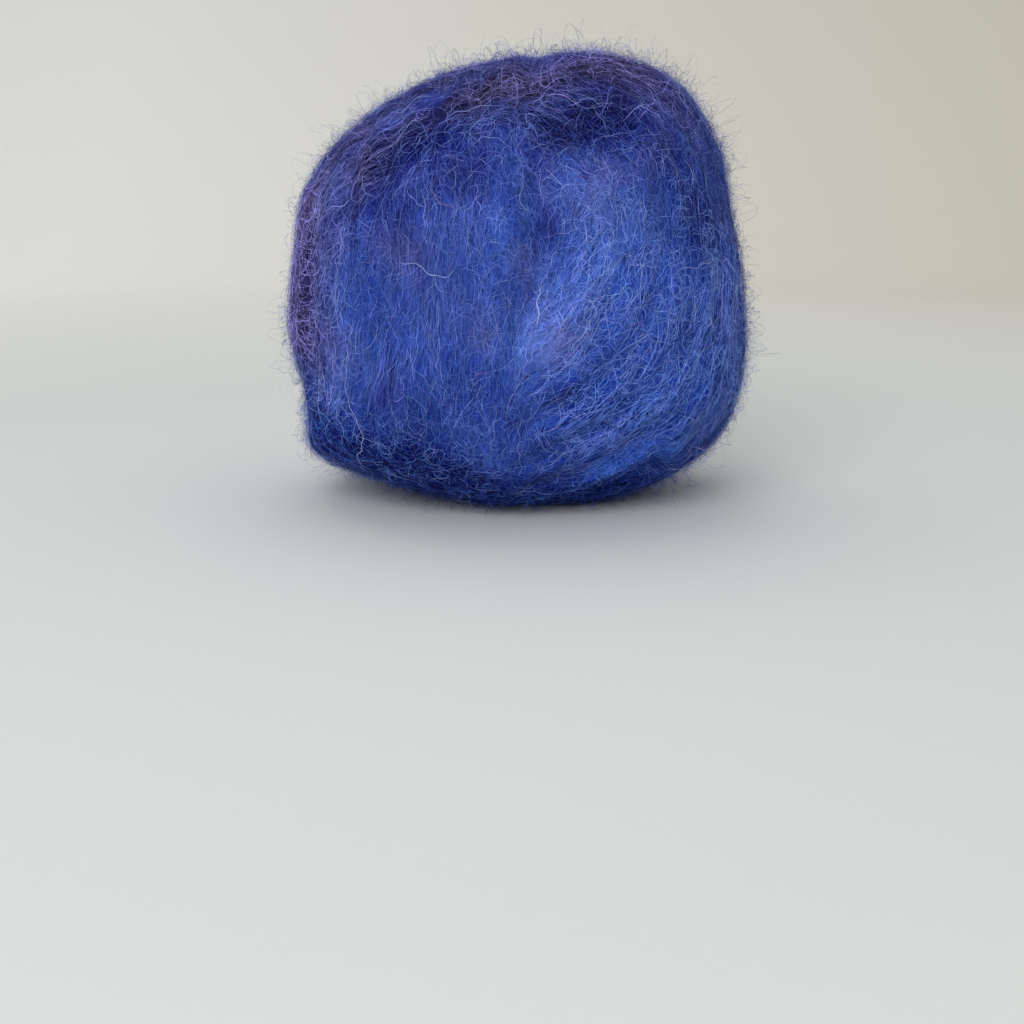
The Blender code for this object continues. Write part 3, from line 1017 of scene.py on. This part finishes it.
def studio_floor():
    """Pale floor that sweeps up softly into a low wall all round."""
    profile = [(0.0, 0.0), (FLOOR_RADIUS, 0.0)]
    for step in range(1, SWEEP_STEPS + 1):
        angle = math.radians(90.0 * step / SWEEP_STEPS)
        across = FLOOR_RADIUS + SWEEP_RADIUS * math.sin(angle)
        profile.append((across, SWEEP_RADIUS * (1.0 - math.cos(angle))))
    profile.append((FLOOR_RADIUS + SWEEP_RADIUS, SWEEP_RADIUS + WALL_HEIGHT))
    mesh = bmesh.new()
    line = [mesh.verts.new((across * MM, 0.0, up * MM)) for across, up in profile]
    edges = [mesh.edges.new(pair) for pair in zip(line, line[1:])]
    bmesh.ops.spin(
        mesh, geom=line + edges, cent=(0, 0, 0), axis=(0, 0, 1), angle=math.tau, steps=ROUND_STEPS,
        use_merge=True,
    )
    bmesh.ops.remove_doubles(mesh, verts=mesh.verts, dist=0.01 * MM)
    bmesh.ops.recalc_face_normals(mesh, faces=mesh.faces)
    data = bpy.data.meshes.new("studio_floor")
    mesh.to_mesh(data)
    mesh.free()
    data.shade_smooth()
    floor = bpy.data.objects.new("studio_floor", data)
    bpy.context.scene.collection.objects.link(floor)
    data.materials.append(paper_material())


def paper_material():
    """Pale paper, lighter away from the ball, cool to the left, and warmer and painted darker to the
    right as shade.
    """
    material, shader = new_material("studio_paper", roughness=0.95, specular=0.1, sheen=0.0)
    links = material.node_tree.links
    place = add_node(material, "ShaderNodeTexCoord").outputs["Object"]
    length = add_node(material, "ShaderNodeVectorMath")
    length.operation = "LENGTH"
    links.new(place, length.inputs[0])
    away = add_node(
        material, "ShaderNodeMapRange",
        Value=length.outputs["Value"], From_Min=AWAY_FROM, From_Max=AWAY_TO,
    )
    side = add_node(material, "ShaderNodeSeparateXYZ", Vector=place)
    rightward = add_node(
        material, "ShaderNodeMapRange", Value=side.outputs["X"], From_Min=LEFT_AT, From_Max=RIGHT_AT
    )
    # The ramp paints the paper darker to the right, as shade.
    wall = add_node(material, "ShaderNodeValToRGB", Fac=rightward.outputs[0])
    left, right = wall.color_ramp.elements
    left.color = LEFT_TONE
    right.color = RIGHT_SHADED_TONE
    tone = add_node(material, "ShaderNodeMix")
    tone.data_type = "RGBA"
    factor, near, far = tone.inputs[0], tone.inputs[6], tone.inputs[7]
    near.default_value = FLOOR_TONE
    links.new(away.outputs[0], factor)
    links.new(wall.outputs["Color"], far)
    grain = add_node(material, "ShaderNodeTexNoise", Vector=place, Scale=900.0, Detail=2.0)
    bump = add_node(
        material, "ShaderNodeBump", Strength=0.05, Distance=0.2 * MM, Height=grain.outputs["Fac"]
    )
    links.new(tone.outputs[2], shader.inputs["Base Color"])
    links.new(bump.outputs["Normal"], shader.inputs["Normal"])
    return material


def area_light(lamp):
    """Square soft light that points at the ball."""
    data = bpy.data.lights.new(lamp.name, "AREA")
    data.energy = lamp.power
    data.size = lamp.size * MM
    data.color = lamp.colour
    data.spread = math.radians(lamp.spread)
    light = bpy.data.objects.new(lamp.name, data)
    light.location = Vector(lamp.place) * MM
    light.rotation_euler = (Vector(CENTRE) - light.location).to_track_quat("-Z", "Y").to_euler()
    light.visible_camera = False
    bpy.context.scene.collection.objects.link(light)


def studio_light():
    """Soft light from in front and from above, with a pale world around."""
    for lamp in LAMPS:
        area_light(lamp)
    world = bpy.data.worlds.new("studio")
    world.use_nodes = True
    background = world.node_tree.nodes["Background"]
    background.inputs["Color"].default_value = WORLD_COLOUR
    background.inputs["Strength"].default_value = WORLD_STRENGTH
    bpy.context.scene.world = world


def camera():
    """Camera at the photograph's angle and distance, just above the ball's centre."""
    data = bpy.data.cameras.new("camera")
    data.sensor_width = SENSOR
    data.lens = SENSOR * FOCAL_PIXELS / FRAME_PIXELS
    data.clip_start = 0.01
    eye = bpy.data.objects.new("camera", data)
    middle = FRAME_PIXELS / 2.0
    pitch = math.atan((middle - HORIZON_ROW) / FOCAL_PIXELS)
    yaw = math.atan((BALL_COLUMN - middle) / FOCAL_PIXELS)
    eye.location = Vector(CENTRE) + Vector((0.0, -CAMERA_AWAY, CAMERA_ABOVE)) * MM
    eye.rotation_euler = (math.pi / 2.0 - pitch, 0.0, yaw)
    bpy.context.scene.collection.objects.link(eye)
    bpy.context.scene.camera = eye


def main():
    """Build the looks. Each layer of fibres has its own seed, so that it's the same in each run."""
    camera()
    studio_light()
    studio_floor()
    surface = wool_surface()
    material = fibre_material()
    layers = [fibres(layer, seed, material) for seed, layer in enumerate(LAYERS, FIRST_SEED)]
    pieces = [surface, *layers, loose_hairs(HAIR_SEED, material)]
    for piece in pieces:
        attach(piece, BODY)
        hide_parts(NODE)
    bpy.context.scene.view_settings.view_transform = "Standard"


main()
